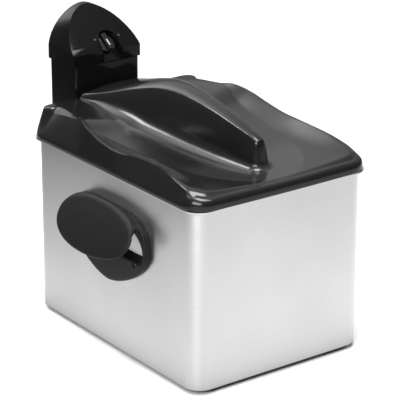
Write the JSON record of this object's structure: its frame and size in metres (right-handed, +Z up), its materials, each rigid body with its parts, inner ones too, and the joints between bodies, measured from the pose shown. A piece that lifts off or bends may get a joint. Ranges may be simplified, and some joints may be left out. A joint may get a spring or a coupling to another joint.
{
  "type": "deep fryer",
  "caption": "Counter-top deep fryer: brushed steel box housing, sculpted lift-off lid with ridge grip, black control head with knob, side handles, lift-out oil container and wire basket.",
  "frame": {"origin": "centre of the bounding box's bottom face, on the surface the feet stand on", "axes": "+Z up, +Y to the rear where the control head is, -Y the plain front, X across between the two side handles"},
  "size_m": [0.3226, 0.3984, 0.3369],
  "materials": {
    "housing_steel": "fine horizontal brushing, satin",
    "black_plastic": "fine moulded grain",
    "foot_rubber": "matte",
    "screw_steel": "bright zinc plate",
    "liner_steel": "mill finish",
    "handle_plastic": "satin moulded",
    "container_steel": "polished stainless",
    "head_gloss": "glossy black",
    "element_steel": "heat-darkened tube",
    "bulb_copper": "plain copper",
    "thermostat_metal": "plain",
    "terminal_ceramic": "unglazed",
    "lamp_lens": "clear lens",
    "knob_plastic": "satin black",
    "pointer_white": "white inlay",
    "reset_red": "plain",
    "lid_gloss": "glossy moulded, dark grey",
    "seal_rubber": "soft silicone",
    "filter_fleece": "white fibre mat",
    "filter_carbon": "black foam",
    "basket_wire": "plated wire"
  },
  "bodies": {
    "housing": {"housing_shell": "housing_steel", "base_tray": "black_plastic", "rubber_feet": "foot_rubber", "base_screws": "screw_steel", "heat_shield": "liner_steel", "side_handle_left": "handle_plastic", "side_handle_right": "handle_plastic", "handle_clamp_plates": "liner_steel", "handle_screws": "screw_steel", "head_guide_bracket": "black_plastic", "guide_screws": "screw_steel"},
    "container": {"oil_container": "container_steel"},
    "head": {"head_casing": "head_gloss", "head_cover": "head_gloss", "rear_panel": "black_plastic", "rear_panel_screws": "screw_steel", "element_bracket": "container_steel", "heating_element": "element_steel", "element_clips": "container_steel", "sensor_bulbs": "bulb_copper", "thermostat_body": "thermostat_metal", "safety_cutout": "black_plastic", "micro_switch": "black_plastic", "terminal_block": "terminal_ceramic", "pilot_lamps": "lamp_lens", "knob_bezel": "head_gloss", "cord_gland": "foot_rubber"},
    "knob": {"control_knob": "knob_plastic", "knob_pointer": "pointer_white", "thermostat_shaft": "thermostat_metal"},
    "reset_button": {"reset_button": "reset_red"},
    "basket": {"basket_floor": "basket_wire", "basket_front": "basket_wire", "basket_back": "basket_wire", "basket_left": "basket_wire", "basket_right": "basket_wire", "basket_corners": "basket_wire", "basket_rim": "basket_wire", "basket_bracket": "basket_wire", "handle_pin": "screw_steel"},
    "basket_handle": {"basket_handle": "basket_wire", "handle_grip": "black_plastic"},
    "lid": {"lid_shell": "lid_gloss", "lid_inner_panel": "liner_steel", "lid_seal": "seal_rubber", "grease_filter": "filter_fleece", "odour_filter": "filter_carbon", "filter_grille": "liner_steel", "lid_screws": "screw_steel"}
  },
  "joints": [
    {"name": "container_lift", "type": "slide", "parent": "housing", "child": "container", "axis": [0, 0, 1], "range_m": [0, 0.25]},
    {"name": "head_lift", "type": "slide", "parent": "container", "child": "head", "axis": [0, 0, 1], "range_m": [0, 0.2]},
    {"name": "basket_lift", "type": "slide", "parent": "head", "child": "basket", "axis": [0, 0, 1], "range_m": [0, 0.17]},
    {"name": "lid_lift", "type": "slide", "parent": "basket", "child": "lid", "axis": [0, 0, 1], "range_m": [0, 0.33]},
    {"name": "basket_handle_fold", "type": "hinge", "parent": "basket", "child": "basket_handle", "pos_m": [0, -0.15, 0.199], "axis": [1, 0, 0], "range_deg": [0, 125]},
    {"name": "thermostat_turn", "type": "hinge", "parent": "head", "child": "knob", "pos_m": [0.0075, 0.15335, 0.29925], "axis": [0, -0.7071, 0.7071], "range_deg": [0, 270]},
    {"name": "reset_press", "type": "slide", "parent": "head", "child": "reset_button", "axis": [0, 0, 1], "range_m": [0, 0.0015], "stiffness_N_per_m": 300}
  ],
  "couplings": [
    {"joint": "basket_handle_fold", "follows": "lid_lift", "rad_per_m": 6.6}
  ]
}
